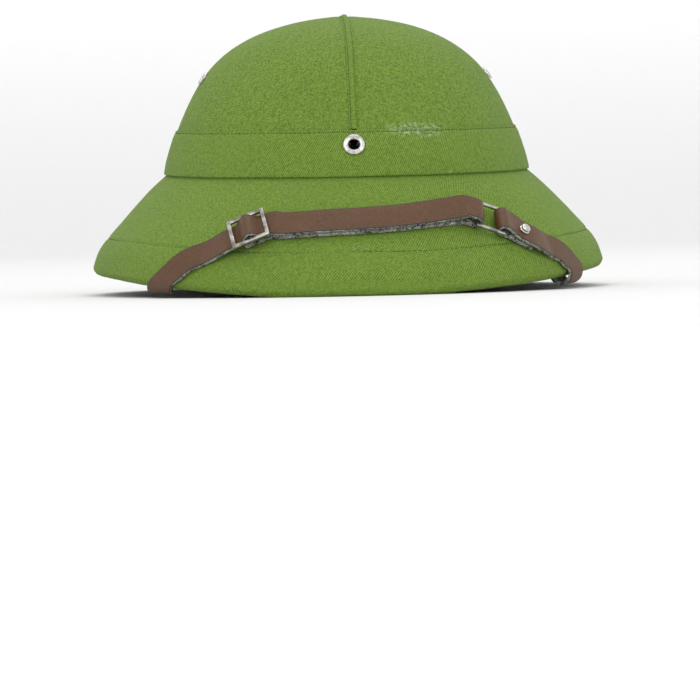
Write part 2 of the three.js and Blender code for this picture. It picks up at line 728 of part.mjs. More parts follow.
// Pins: plain, a flat head over the strap's end and a post into the shell
const pinTop = UNDER_FACE - LINING_FACE + BARE_LIFT + STRAP_WALL + GAP;
const pinProfile = [
  [0, -PIN_DEPTH],
  [PIN_RADIUS, -PIN_DEPTH],
  [PIN_RADIUS, pinTop],
  [PIN_HEAD, pinTop],
  [PIN_HEAD, pinTop + PIN_HEAD_WALL],
  [0, pinTop + PIN_HEAD_WALL],
];
add('strap_pin_left', turned(pinProfile, 10), nickel, pinSeat(-PIN_TURN));
add('strap_pin_right', turned(pinProfile, 10), nickel, pinSeat(PIN_TURN));

export default helmet;
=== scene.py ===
import functools
import math
import random

import bmesh
import bpy
from mathutils import Matrix, Vector, noise


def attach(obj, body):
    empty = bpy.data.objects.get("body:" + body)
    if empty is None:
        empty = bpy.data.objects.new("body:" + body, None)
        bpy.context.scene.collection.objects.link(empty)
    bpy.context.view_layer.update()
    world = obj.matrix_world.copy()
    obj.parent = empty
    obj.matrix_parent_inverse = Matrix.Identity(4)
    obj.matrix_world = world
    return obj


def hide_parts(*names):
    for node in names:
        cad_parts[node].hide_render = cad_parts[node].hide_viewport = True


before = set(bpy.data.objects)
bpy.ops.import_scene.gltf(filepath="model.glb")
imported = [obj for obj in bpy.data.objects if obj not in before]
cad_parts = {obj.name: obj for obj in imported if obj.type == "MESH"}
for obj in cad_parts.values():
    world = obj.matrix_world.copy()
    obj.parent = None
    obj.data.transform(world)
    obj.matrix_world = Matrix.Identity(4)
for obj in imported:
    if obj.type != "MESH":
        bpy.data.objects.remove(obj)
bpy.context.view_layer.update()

# Shell: one pressed fibre wall over crown and brim, with smooth khaki cloth bonded to its inner
# face. All other pieces are laid on its form, by a turn round the hat in degrees, 0 at the front
# and 90 at the right, and a place: -1 the crown's top, 0 its foot, 1 the start of the rolled edge.
brim_length, brim_width = 0.297, 0.248
side_lift, landing = 0.010, 16
crown_length, crown_width, crown_height = 0.216, 0.176, 0.0755
crown_foot, crown_forward, crown_pitch = 0.0575, 0.005, 2.5
crown_fullness, crown_waist = 0.02, 0.045
cover_cloth, fibre_wall, clearance = 0.001, 0.003, 0.0003
edge_tilt, edge_flat = 15, 15
edge_radius = fibre_wall / 2 + clearance + cover_cloth
lining_face = cover_cloth + clearance + fibre_wall

# Shares of the brim's overhang and of its drop, at even steps from the crown to the rolled edge.
brim_sections = [(0, 0), (0.2, 0.145), (0.4, 0.31), (0.6, 0.485), (0.8, 0.67), (0.92, 0.82), (1, 1)]
up = Vector((0, 0, 1))


def rise_at(height):
    """Share of the way up the crown of a height above its foot."""
    return math.asin(height / crown_height) / (math.pi / 2)


def crown_point(turn, rise):
    """A point on the outer face of the crown's cloth."""
    around = math.radians(turn)
    lean = rise * math.pi / 2
    swell = 1 + crown_fullness * math.sin(2 * lean) - crown_waist * math.sin(4 * lean)
    reach = math.cos(lean) * swell
    across = crown_width / 2 * reach * math.sin(around)
    along = -crown_length / 2 * reach * math.cos(around)
    height = crown_foot + math.tan(math.radians(crown_pitch)) * along + crown_height * math.sin(lean)
    return Vector((across, along - crown_forward, height))


@functools.lru_cache(maxsize=None)
def edge_axes(turn):
    """Middle of the rolled edge, its outward direction and its direction on round the edge."""
    s, c = math.sin(math.radians(turn)), math.cos(math.radians(turn))
    flat = math.sin(math.radians(landing)) ** 2
    lifted = side_lift * max(0, (s * s - flat) / (1 - flat))
    level = Vector((brim_length * s, -brim_width * c, 0)).normalized()
    middle = Vector((
        (brim_width / 2 - edge_radius) * s,
        -(brim_length / 2 - edge_radius) * c,
        edge_radius * math.cos(math.radians(edge_flat)) + lifted,
    ))
    tilt = math.radians(edge_tilt)
    out = level * math.cos(tilt) + up * math.sin(tilt)
    down = level * math.sin(tilt) - up * math.cos(tilt)
    return middle, out, down


def edge_point(turn, angle, radius):
    """A point round the rolled edge: 0 on its outer side, 90 beneath, 180 on its inner side."""
    middle, out, down = edge_axes(turn)
    a = math.radians(angle)
    return middle + out * (radius * math.cos(a)) + down * (radius * math.sin(a))


def smooth_value(before, start, end, after, t):
    """A value on the smooth curve from start to end that also heeds the values beyond them."""
    rise, fall = (end - before) / 2, (after - start) / 2
    bend = 2 * start - 2 * end + rise + fall
    bow = -3 * start + 3 * end - 2 * rise - fall
    return ((bend * t + bow) * t + rise) * t + start


@functools.lru_cache(maxsize=None)
def brim_shares(share):
    """Shares of the brim's overhang and of its drop at a share of its width."""
    last = len(brim_sections) - 1
    spot = share * last
    k = max(0, min(int(spot), last - 1))
    near = [brim_sections[max(0, min(last, k + n))] for n in (-1, 0, 1, 2)]
    return [smooth_value(*(row[axis] for row in near), spot - k) for axis in (0, 1)]


@functools.lru_cache(maxsize=None)
def brim_ends(turn):
    return crown_point(turn, 0), edge_point(turn, 0, edge_radius)


def skin_point(turn, place):
    """A point on the outer face of the cloth over crown and brim."""
    if place < 0:
        return crown_point(turn, -place)
    foot, edge = brim_ends(turn)
    out, drop = brim_shares(place)
    return Vector((
        foot.x + (edge.x - foot.x) * out,
        foot.y + (edge.y - foot.y) * out,
        foot.z + (edge.z - foot.z) * drop,
    ))


def skin_normal(turn, above, below):
    middle = (above + below) / 2
    around = skin_point(turn + 1, middle) - skin_point(turn - 1, middle)
    along = skin_point(turn, min(below, 1)) - skin_point(turn, max(above, -1))
    return along.cross(around).normalized()


def wall_point(turn, place, depth):
    """A point that depth below the cloth's outer face, mitred so that walls keep their width."""
    if place <= -1:
        return crown_point(turn, 1) - up * depth
    above = skin_normal(turn, place - 0.01, place)
    below = skin_normal(turn, place, place + 0.01)
    mitre = (above + below) / (1 + above.dot(below))
    return skin_point(turn, place) - mitre * depth


def along_hat(turn, place, run):
    """The way over one degree round the hat, with run as the change of place."""
    return skin_point(turn + 0.5, place + 0.5 * run) - skin_point(turn - 0.5, place - 0.5 * run)


def seat_at(turn, place, lift, run=0):
    """Axes of a piece set on the hat: Z away from it, X along the way that the piece runs."""
    out = skin_normal(turn, place - 0.02, place + 0.02)
    across = out.cross(along_hat(turn, place, run)).normalized()
    seat = Matrix((across.cross(out), across, out)).transposed().to_4x4()
    seat.translation = skin_point(turn, place) + out * lift
    return seat


def laid_sheet(columns, rows, place, flat):
    """A grid of columns by rows: place gives each corner's point, flat its spot in the cloth."""
    form = bmesh.new()
    bmesh.ops.create_grid(form, x_segments=len(columns) - 1, y_segments=len(rows) - 1, size=1)
    weave = form.loops.layers.uv.new("weave")
    corners = {}
    for corner in form.verts:
        i = round((corner.co.x + 1) / 2 * (len(columns) - 1))
        j = round((corner.co.y + 1) / 2 * (len(rows) - 1))
        corners[corner] = (columns[i], rows[j])
    for face in form.faces:
        for loop in face.loops:
            loop[weave].uv = flat(*corners[loop.vert])
    for corner, spot in corners.items():
        corner.co = place(*spot)
    bmesh.ops.remove_doubles(form, verts=form.verts, dist=2e-6)
    bmesh.ops.recalc_face_normals(form, faces=form.faces)
    return form


punch_depth, split_reach, rim_reach = 0.006, 2.4, 1.7


def punch(form, seat, radius):
    """Cuts a round hole through the cloth where the seat's Z axis passes."""
    inward = seat.inverted()

    def near(point, reach):
        spot = inward @ point
        return abs(spot.z) < punch_depth and spot.xy.length < reach * radius

    edges = [e for e in form.edges if all(near(corner.co, split_reach) for corner in e.verts)]
    bmesh.ops.subdivide_edges(form, edges=edges, cuts=3, use_grid_fill=True)
    inside = [face for face in form.faces if near(face.calc_center_median(), 1)]
    bmesh.ops.delete(form, geom=inside, context="FACES")
    for corner in form.verts:
        if corner.is_boundary and near(corner.co, rim_reach):
            spot = inward @ corner.co
            spot.xy = spot.xy.normalized() * radius
            corner.co = seat @ spot


def new_object(name, form, finishes):
    """An object in the scene from a finished form."""
    mesh = bpy.data.meshes.new(name)
    form.to_mesh(mesh)
    form.free()
    mesh.polygons.foreach_set("use_smooth", [True] * len(mesh.polygons))
    for finish in finishes:
        mesh.materials.append(finish)
    made = bpy.data.objects.new(name, mesh)
    bpy.context.scene.collection.objects.link(made)
    return made


def made_piece(name, form, finishes, wall=0, wall_side=-1):
    """A piece of the helmet, with its wall's thickness given by a Solidify modifier."""
    made = new_object(name, form, finishes)
    if wall:
        thick = made.modifiers.new("wall", "SOLIDIFY")
        thick.thickness = wall
        thick.offset = wall_side
    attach(made, "root")
    return made


class Signal:
    """One output of a material's nodes. Sums on it add Math nodes."""

    def __init__(self, socket):
        self.socket = socket

    def node(self, kind, settings, values, output=0):
        """Adds a node: its settings first, then the values or links of its sockets."""
        tree = self.socket.id_data
        made = tree.nodes.new(kind)
        for name, value in settings.items():
            setattr(made, name, value)
        for name, value in values.items():
            if isinstance(value, Signal):
                tree.links.new(value.socket, made.inputs[name])
            else:
                made.inputs[name].default_value = value
        return Signal(made.outputs[output])

    def maths(self, operation, *values):
        return self.node("ShaderNodeMath", {"operation": operation}, dict(enumerate(values)))

    def __add__(self, other):
        return self.maths("ADD", self, other)

    def __sub__(self, other):
        return self.maths("SUBTRACT", self, other)

    def __rsub__(self, other):
        return self.maths("SUBTRACT", other, self)

    def __mul__(self, other):
        return self.maths("MULTIPLY", self, other)

    def __truediv__(self, other):
        return self.maths("DIVIDE", self, other)

    __radd__ = __add__
    __rmul__ = __mul__

    def wave(self):
        return self.maths("SINE", self * (2 * math.pi)) * 0.5 + 0.5

    def between(self, low, high):
        """0 below low, 1 above high, and smooth from one to the other."""
        values = {"Value": self, "From Min": low, "From Max": high}
        return self.node("ShaderNodeMapRange", {"interpolation_type": "SMOOTHSTEP"}, values)

    def grain(self, scale, detail=3, roughness=0.55):
        values = {"Vector": self, "Scale": scale, "Detail": detail, "Roughness": roughness}
        return self.node("ShaderNodeTexNoise", {}, values)

    def scaled(self, x, y, z):
        return self.node("ShaderNodeMapping", {}, {"Vector": self, "Scale": (x, y, z)})

    def axis(self, number):
        return self.node("ShaderNodeSeparateXYZ", {}, {"Vector": self}, output=number)

    def mixed(self, low, high):
        """The colour low where this is 0 and high where it is 1."""
        values = {0: self}
        for socket, colour in ((6, low), (7, high)):
            values[socket] = colour if isinstance(colour, Signal) else (*colour, 1)
        return self.node("ShaderNodeMix", {"data_type": "RGBA"}, values, output=2)


def new_finish(name):
    """A material with its shader and its place on the object."""
    material = bpy.data.materials.new(name)
    material.use_nodes = True
    shader = material.node_tree.nodes["Principled BSDF"]
    spot = Signal(shader.outputs[0]).node("ShaderNodeTexCoord", {}, {}, output="Object")
    return material, shader, spot


def lead(shader, name, value):
    shader.id_data.links.new(value.socket, shader.inputs[name])


def raise_grain(shader, height, depth, strength=1.0):
    values = {"Strength": strength, "Distance": depth, "Height": height}
    lead(shader, "Normal", height.node("ShaderNodeBump", {}, values))


def lining_finish():
    material, shader, spot = new_finish("lining_cloth")
    cloud = spot.grain(28, 4, 0.6)
    thread = spot.grain(1500, 2)
    worn = spot.grain(9, 2).between(0.45, 0.75)
    colour = (cloud * 0.6 + thread * 0.4).mixed((0.112, 0.095, 0.053), (0.178, 0.154, 0.092))
    lead(shader, "Base Color", (worn * 0.35).mixed(colour, (0.195, 0.172, 0.112)))
    shader.inputs["Roughness"].default_value = 0.86
    shader.inputs["Specular IOR Level"].default_value = 0.3
    raise_grain(shader, thread * 0.6 + cloud, 0.00012, 0.6)
    return material


def lining_point(turn, place):
    """The lining's face, bent smoothly where the crown meets the brim."""
    above, below = -0.055, 0.13
    if not above < place < below:
        return wall_point(turn, place, lining_face)
    t = (place - above) / (below - above)
    ends = wall_point(turn, above, lining_face), wall_point(turn, below, lining_face)
    bend = wall_point(turn, 0, lining_face)
    return ends[0] * (1 - t) ** 2 + bend * (2 * t * (1 - t)) + ends[1] * t ** 2


badge_height, vent_height, vent_spacing = 0.0145, 0.0465, 0.028
badge_hole, vent_hole = 0.0042, 0.0029
badge_seat = seat_at(0, -rise_at(badge_height), 0)
vent_half = crown_length / 2 * math.cos(rise_at(vent_height) * math.pi / 2)
vent_turn = math.degrees(math.asin(vent_spacing / 2 / vent_half))
vent_turns = {
    "right_front": 90 - vent_turn,
    "right_rear": 90 + vent_turn,
    "left_rear": 270 - vent_turn,
    "left_front": 270 + vent_turn,
}
vent_seats = {name: seat_at(turn, -rise_at(vent_height), 0) for name, turn in vent_turns.items()}


def punch_eyelets(form):
    punch(form, badge_seat, badge_hole)
    for seat in vent_seats.values():
        punch(form, seat, vent_hole)


lining_round, lining_width = 0.7, 0.1
lining_rows = [-1 + k / 56 for k in range(57)] + [0.97 * k / 30 for k in range(1, 31)]
shell = laid_sheet(
    [k * 360 / 240 for k in range(241)],
    lining_rows,
    lining_point,
    lambda turn, place: (turn / 360 * lining_round, place * lining_width),
)
punch_eyelets(shell)
lined_shell = made_piece("shell_and_lining", shell, [lining_finish()], fibre_wall, wall_side=1)
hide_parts("lined_shell")

# Crown covers: two halves of green cotton twill drawn over the dome and glued down. Their inner
# edges are turned under at the middle seam, which lifts the cloth a little beside it.
crown_hem, crown_arc = 0.003, 0.137
seam_half, seam_tuck = 0.0015, 0.0002
turned_place, turned_width, turned_lift = 0.0042, 0.0032, 0.00022
crown_rows = [-1 + k / 72 * (1 - rise_at(crown_hem)) for k in range(73)]


def uneven(point, size, depth):
    """A small lift that varies slowly over the cloth."""
    return noise.noise(point / size) * depth


def crown_lift(point):
    turned_in = math.exp(-((abs(point.x) - turned_place) / turned_width) ** 2)
    return uneven(point, 0.03, 0.00030) + uneven(point, 0.011, 0.00006) + turned_lift * turned_in


def crown_cloth(turn, place):
    return wall_point(turn, place, -crown_lift(skin_point(turn, place)))


def crown_flat(turn, place):
    arc = (1 + place) * crown_arc
    around = math.radians(turn)
    return arc * math.sin(around), -arc * math.cos(around)


def weave_spot(spot):
    """The place in the flat cloth or leather, from the piece's own UV map."""
    return spot.node("ShaderNodeUVMap", {"uv_map": "weave"}, {})


rib_pitch, yarns_over, yarns_beside = 0.00098, 2000, 720
dark_green, light_green, rubbed_green = (0.054, 0.106, 0.009), (0.200, 0.311, 0.049), (0.36, 0.46, 0.24)


def twill_finish(name, slant, ribbed=0.5, scuffed=False):
    """Green cotton twill, its ribs slanted by that many degrees in the flat cloth."""
    material, shader, spot = new_finish(name)
    weave = weave_spot(spot)
    along, across = weave.axis(0), weave.axis(1)
    a = math.radians(slant)
    wander = spot.grain(260, 2) * 0.00022
    over = along * math.cos(a) + across * math.sin(a) + wander
    beside = across * math.cos(a) - along * math.sin(a)
    rib = (over / rib_pitch).wave().between(0.0, 0.75)
    yarn = weave.node("ShaderNodeCombineXYZ", {}, {0: over * yarns_over, 1: beside * yarns_beside})
    slub = yarn.grain(1, 2, 0.6).between(0.36, 0.64)
    fleck = spot.grain(1700, 2, 0.7).between(0.36, 0.64)
    mottle = spot.grain(620, 3, 0.7).between(0.36, 0.64)
    cloud = spot.grain(24, 4, 0.6)
    shade = rib * ribbed + slub * 0.3 + fleck * 0.3 + mottle * 0.24 + cloud * 0.14
    colour = shade.between(0.1, 0.88 + ribbed).mixed(dark_green, light_green)
    height = rib * 0.9 + slub * 0.3 + fleck * 0.25 + mottle * 0.3
    if scuffed:
        rubbed = scuff_mask(spot)
        colour = rubbed.mixed(colour, rubbed_green)
        height = height + rubbed * 1.2
    lead(shader, "Base Color", colour)
    lead(shader, "Roughness", fleck * 0.12 + 0.76)
    shader.inputs["Specular IOR Level"].default_value = 0.15
    shader.inputs["Sheen Weight"].default_value = 0.03
    shader.inputs["Sheen Roughness"].default_value = 0.5
    raise_grain(shader, height, 0.00016, 0.75)
    return material


scuff_turn, scuff_height, scuff_reach = 21.5, 0.0212, (0.017, 0.022, 0.0042)
scuff_centre = crown_point(scuff_turn, rise_at(scuff_height))


def scuff_mask(spot):
    """Where the cloth's face is rubbed pale at the band's top, on the right of the front."""
    away = spot.node("ShaderNodeVectorMath", {"operation": "SUBTRACT"}, {0: spot, 1: scuff_centre})
    away = away.scaled(*(1 / reach for reach in scuff_reach))
    distance = away.node("ShaderNodeVectorMath", {"operation": "LENGTH"}, {0: away}, output="Value")
    patch = (1.15 - distance).between(0.0, 0.7)
    broken = spot.grain(620, 4, 0.7).between(0.46, 0.62)
    return patch * broken * 0.8


crown_twill = twill_finish("crown_twill", 38, ribbed=0.2, scuffed=True)
crown = laid_sheet([k * 360 / 320 for k in range(321)], crown_rows, crown_cloth, crown_flat)
punch_eyelets(crown)
for side, name in ((-1, "left"), (1, "right")):
    half = crown.copy()
    geometry = half.verts[:] + half.edges[:] + half.faces[:]
    cut = Vector((side * (seam_half - seam_tuck), 0, 0))
    bmesh.ops.bisect_plane(
        half, geom=geometry, dist=1e-7, plane_co=cut, plane_no=(side, 0, 0), clear_inner=True
    )
    cover = made_piece(f"crown_twill_{name}", half, [crown_twill], wall=0.0007)
    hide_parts(f"crown_cover_{name}")
crown.free()

# Crown seam: the folded edges of the two halves stand up as a flat ridge from front to back. It
# is sewn down along its left side, where the thread pulls a narrow channel.
band_width = 0.0215
seam_start = rise_at(band_width) + 0.002
seam_length = 0.27

# Places across the seam and their heights off the crown, in millimetres.
seam_section = [
    (-1.75, -0.5), (-1.72, 0.1), (-1.6, 0.48), (-1.35, 0.62), (-1.1, 0.5), (-0.9, 0.42),
    (-0.7, 0.55), (-0.4, 0.95), (0.0, 1.12), (0.6, 1.18), (1.1, 1.12), (1.42, 0.9),
    (1.58, 0.5), (1.62, 0.1), (1.62, -0.5),
]


def seam_spot(share):
    """Point of the seam's line at a share of the way from the front over the top to the back."""
    climb = 1 - abs(2 * share - 1)
    return crown_point(0 if share < 0.5 else 180, seam_start + (1 - seam_start) * climb)


def seam_seat(share, across, lift):
    """Axes on the seam's line: X along it to the back, Y to its left, Z off the crown."""
    along = (seam_spot(min(1, share + 0.004)) - seam_spot(max(0, share - 0.004))).normalized()
    out = Vector((1, 0, 0)).cross(along).normalized()
    sway = noise.noise(Vector((share * 9, 0.3, 0.7))) * 0.00025
    seat = Matrix((along, out.cross(along), out)).transposed().to_4x4()
    seat.translation = seam_spot(share) + out * lift + Vector((across + sway, 0, 0))
    return seat


def seam_point(column, share):
    across, proud = column
    plump = 1 + 0.12 * noise.noise(Vector((share * 60, across, 0.2)))
    return seam_seat(share, across / 1000, proud * plump / 1000).translation


seam = laid_sheet(
    seam_section,
    [k / 300 for k in range(301)],
    seam_point,
    lambda column, share: (column[0] / 1000, share * seam_length),
)
ridge = made_piece("crown_seam_ridge", seam, [twill_finish("seam_twill", 52)], wall=0.0003)
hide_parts("crown_seam")

# Hat band: a folded strip of the same twill round the crown's foot. Both edges are folds; the
# upper one is sewn flat to the crown and the lower one stands off the brim as a dark line.
band_round, band_hole = 0.62, 0.0040

# Heights up the crown and distances off it, in millimetres.
band_section = [
    (3.6, 0.32), (1.3, 0.32), (0.62, 0.36), (0.46, 0.48), (0.42, 0.68), (0.52, 0.88),
    (0.8, 1.0), (1.5, 1.06), (2.6, 1.08), (3.8, 1.08), (5.2, 1.08), (6.6, 1.08), (8.0, 1.08),
    (9.4, 1.07), (10.8, 1.06), (12.2, 1.06), (13.6, 1.06), (15.0, 1.06), (16.4, 1.06),
    (17.6, 1.05), (18.6, 1.03), (19.3, 0.97), (19.8, 0.86), (20.15, 0.7), (20.4, 0.62),
    (20.65, 0.7), (20.9, 0.84), (21.15, 0.88), (21.38, 0.78), (21.48, 0.58), (21.4, 0.36),
    (20.6, 0.32), (19.2, 0.32),
]


def circle_spot(turn):
    """A place on a circle, for waves in the cloth that close where the turn comes round."""
    around = math.radians(turn)
    return Vector((math.sin(around), math.cos(around), 0.0))


def band_point(turn, row):
    height, proud = row
    circle = circle_spot(turn)
    height += 0.22 * noise.noise(circle * 3.1)
    facing = min(1, max(0, (proud - 0.35) / 0.5))
    pucker = 0.10 * noise.noise(Vector((turn * 0.55, height * 0.22, 3)))
    proud += facing * (0.14 * noise.noise(circle * 4.7 + up * height * 0.05) + pucker)
    return wall_point(turn, -rise_at(height / 1000), -max(0.0003, proud / 1000))


band = laid_sheet(
    [180 + k * 360 / 400 for k in range(401)],
    band_section,
    band_point,
    lambda turn, row: (turn / 360 * band_round, row[0] / 1000),
)
punch(band, badge_seat, band_hole)
band_twill = twill_finish("band_twill", -32, scuffed=True)
hat_band = made_piece("hat_band_twill", band, [band_twill], wall=0.0002)
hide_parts("hat_band")

# Brim cover: twill glued over the brim, wrapped round the shell's rim and turned in below. A row
# of stitches two thirds of the way out holds the turned-in hem and pulls a shallow channel.
under_face = 2 * edge_radius
hem_line, channel_depth = 4 / 6, 0.00034
brim_arc, edge_arc, brim_round = 0.058, 0.0088, 0.78


def at_point(turn, at, lift):
    """A point that lift above the wrapped hat: at is 1 to 2 round the edge and 2 to 3 under it."""
    if at <= 1:
        return wall_point(turn, at, -lift)
    if at < 2:
        return edge_point(turn, (at - 1) * 180, edge_radius + lift)
    return wall_point(turn, 3 - at, under_face + lift)


def brim_lift(turn, at):
    away = (at - hem_line) * brim_arc
    channel = -channel_depth * math.exp(-(away / 0.0008) ** 2)
    near_row = math.exp(-((away - 0.001) / 0.005) ** 2)
    pucker = 0.00011 * near_row * noise.noise(Vector((turn * 0.9, at * 6, 1.5)))
    padding = 0.00038 * math.sin(math.pi * min(1, max(0, (at - hem_line) / 0.55))) ** 0.8
    circle = circle_spot(turn)
    waves = 0.00035 * noise.noise(circle * 3.3 + up * at * 3)
    waves += 0.0001 * noise.noise(circle * 16 + up * at * 9)
    past_band = 1 if at > 0.03 else 0
    return past_band * (channel + pucker + waves * min(1, at * 4)) + padding


def brim_cloth(turn, at):
    point = at_point(turn, at, brim_lift(turn, at))
    point.z = max(point.z, 0)
    return point


def hem_cloth(turn, at):
    """The turned-in edge, a little uneven where it was cut and glued."""
    wander = 0.012 * noise.noise(Vector((turn * 0.07, 2.2, 0.4))) * (at - 2) * 6
    return brim_cloth(turn, min(at + wander, 3.0))


def brim_way(at):
    """Length of cloth from the crown's foot: down the brim, round the edge and up its turn-in."""
    over, turned_in = min(at, 1) * brim_arc, max(0, at - 2) * brim_arc
    return over + min(1, max(0, at - 1)) * edge_arc + turned_in


# Rows of the cloth's grid, closest together beside the stitches.
brim_rows = (
    [-rise_at(0.0027), -rise_at(0.001), 0.0]
    + [0.015 + 0.61 * k / 26 for k in range(27)]
    + [0.631 + 0.072 * k / 16 for k in range(17)]
    + [0.715 + 0.27 * k / 12 for k in range(13)]
    + [1 + k / 16 for k in range(17)]
    + [2.03, 2.06, 2.09, 2.12, 2.145, 2.16, 2.1667]
)
brim = laid_sheet(
    [180 + k * 360 / 400 for k in range(401)],
    brim_rows,
    lambda turn, at: hem_cloth(turn, at) if at > 2 else brim_cloth(turn, at),
    lambda turn, at: (turn / 360 * brim_round, brim_way(at)),
)
brim_cover = made_piece("brim_twill", brim, [twill_finish("brim_twill", 40)], wall=0.0006)
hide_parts("brim_cover")

# Stitches: green cotton thread in even rows round the brim, along the band's top and beside
# the crown's seam, coloured darker than the cloth as painted shade for the shadowed needle
# holes. Each stitch lies in the channel that its thread pulls into the cloth.
def thread_finish():
    material, shader, spot = new_finish("thread_darkened_as_shade")
    twist = spot.grain(2600, 2)
    # The thread is coloured darker than the cloth: painted shade for the shadowed needle holes beside
    # each stitch.
    lead(shader, "Base Color", twist.mixed((0.020, 0.044, 0.008), (0.062, 0.110, 0.022)))
    shader.inputs["Roughness"].default_value = 0.8
    raise_grain(shader, twist, 0.00008)
    return material


thread_darkened_as_shade = thread_finish()
thread_half_width, thread_half_height = 0.00024, 0.00017
brim_count, band_count, seam_count = 290, 232, 104
band_row = -rise_at(0.0204)
stitch_rows = (
    ("brim_stitches", 0.0020, [
        seat_at(k * 360 / brim_count, hem_line, -channel_depth) for k in range(brim_count)
    ]),
    ("band_stitches", 0.0018, [
        seat_at(k * 360 / band_count, band_row, 0.00066) for k in range(band_count)
    ]),
    ("seam_stitches", 0.0017, [
        seam_seat((k + 0.5) / seam_count, -0.0009, 0.00045) for k in range(seam_count)
    ]),
)
for name, length, seats in stitch_rows:
    rng = random.Random(len(seats))
    form = bmesh.new()
    size = Matrix.Diagonal((length / 2, thread_half_width, thread_half_height, 1))
    for seat in seats:
        lean = Matrix.Rotation(rng.uniform(-0.09, 0.09), 4, "Z")
        bmesh.ops.create_uvsphere(
            form, u_segments=6, v_segments=4, radius=1, matrix=seat @ lean @ size
        )
    made_piece(name, form, [thread_darkened_as_shade])

# Loose threads: cut ends at the band's lower fold and at the brim's stitches, and the short
# fibres that stand up where the cloth is rubbed above the right of the front.
def fibre_finish():
    material, shader, spot = new_finish("pale_fibre")
    lead(shader, "Base Color", spot.grain(900, 2).mixed((0.22, 0.33, 0.10), (0.44, 0.52, 0.30)))
    shader.inputs["Roughness"].default_value = 0.9
    return material


def add_fibre(form, seat, way, length, width):
    """A thin thread in two bent lengths, from a seat on the cloth."""
    start = seat.translation
    direction = (seat.to_3x3() @ way).normalized()
    for part in range(2):
        turned = direction.to_track_quat("Z", "Y").to_matrix().to_4x4()
        place = Matrix.Translation(start + direction * length / 4)
        bmesh.ops.create_cone(
            form, cap_ends=True, segments=4, radius1=width, radius2=width * (1 - 0.5 * part),
            depth=length / 2, matrix=place @ turned,
        )
        start = start + direction * length / 2
        direction = (direction + Vector((0.35, 0.2, -0.45))).normalized()


def fibre_patch(form, rng, count, spread, length, width, spot):
    """Fibres round a spot of the crown, given and spread by turn and height above its foot."""
    for _ in range(count):
        turn, height = spot[0] + rng.gauss(0, spread[0]), spot[1] + rng.gauss(0, spread[1])
        proud = 0.0010 if height < band_width else 0.0001
        seat = seat_at(turn, -rise_at(height), proud)
        angle = rng.uniform(0, 2 * math.pi)
        lean = rng.uniform(0.1, 0.5)
        way = Vector((math.cos(angle), math.sin(angle) * 0.6, lean)).normalized()
        add_fibre(form, seat, way, rng.uniform(*length), width)


rng = random.Random(7)
fibres = bmesh.new()
fibre_patch(fibres, rng, 70, (2.6, 0.0011), (0.0008, 0.0022), 0.00005, (18.5, 0.0215))
fibre_patch(fibres, rng, 50, (2.2, 0.0012), (0.0008, 0.0020), 0.00005, (24.5, 0.0205))
fibre_patch(fibres, rng, 4, (0.35, 0.0002), (0.0012, 0.0020), 0.00009, (-34, 0.0008))
fibre_patch(fibres, rng, 4, (0.35, 0.0002), (0.0012, 0.0020), 0.00009, (30, 0.0008))
for k in range(7):
    seat = seat_at(0.3 + rng.gauss(0, 0.8), 0.650 + rng.gauss(0, 0.008), 0.0)
    way = Vector((rng.uniform(-1, 1), rng.uniform(-0.5, 0.5), 0.25)).normalized()
    add_fibre(fibres, seat, way, rng.uniform(0.001, 0.0024), 0.0001)
made_piece("loose_threads", fibres, [fibre_finish()])

# Eyelets: nickel-plated brass tubes with a rolled flange outside and a spread washer inside. The
# large one takes a cap badge, the four small ones let air through the crown.
def nickel_finish(name, patches, dull, bright, low, high):
    """Nickel plating with that many dull patches a metre, its roughness from low to high."""
    material, shader, spot = new_finish(name)
    tarnish = spot.grain(patches, 2, 0.4).between(0.34, 0.62)
    scratches = spot.scaled(1, 6, 1).grain(2200, 3, 0.7)
    lead(shader, "Base Color", tarnish.mixed(dull, bright))
    lead(shader, "Roughness", (1 - tarnish) * (high - low) + low)
    shader.inputs["Metallic"].default_value = 1.0
    raise_grain(shader, scratches, 0.00002, 0.25)
    return material


def spun_form(profile, steps):
    """A profile of (radius, height) pairs spun round the Z axis."""
    form = bmesh.new()
    corners = [form.verts.new((radius, 0, height)) for radius, height in profile]
    edges = [form.edges.new(pair) for pair in zip(corners, corners[1:])]
    bmesh.ops.spin(
        form, geom=corners + edges, cent=(0, 0, 0), axis=(0, 0, 1), angle=2 * math.pi,
        steps=steps, use_merge=True,
    )
    bmesh.ops.remove_doubles(form, verts=form.verts, dist=2e-6)
    bmesh.ops.recalc_face_normals(form, faces=form.faces)
    return form


def turned_piece(name, profile, seat, finish, steps=48):
    """A metal piece turned round the seat's Z axis, from its profile in millimetres."""
    form = spun_form([(radius / 1000, height / 1000) for radius, height in profile], steps)
    bmesh.ops.transform(form, matrix=seat, verts=form.verts)
    made = made_piece(name, form, [finish])
    made.data.set_sharp_from_angle(angle=math.radians(50))
    return made


def eyelet_profile(flange, barrel, hole, height, base):
    """Closed section of an eyelet, from its washer inside up the bore and over the flange."""
    inside = -lining_face * 1000 - 0.8
    wide = flange - hole
    rolled = [
        (0.0, 0.1), (0.04, 0.45), (0.14, 0.78), (0.32, 0.97), (0.52, 1.0), (0.72, 0.94),
        (0.88, 0.74), (0.97, 0.35),
    ]
    top = [(flange - share * wide, base + height * up_share) for share, up_share in rolled]
    return [
        (hole, inside - 0.2), (hole + 0.25, inside - 0.55), (flange - 0.4, inside - 0.6),
        (flange, inside - 0.35), (flange - 0.1, inside), (barrel, inside),
        (barrel, base - 0.05), (flange - 0.15, base - 0.02),
        *top, (hole, base - 0.6), (hole, inside - 0.2),
    ]


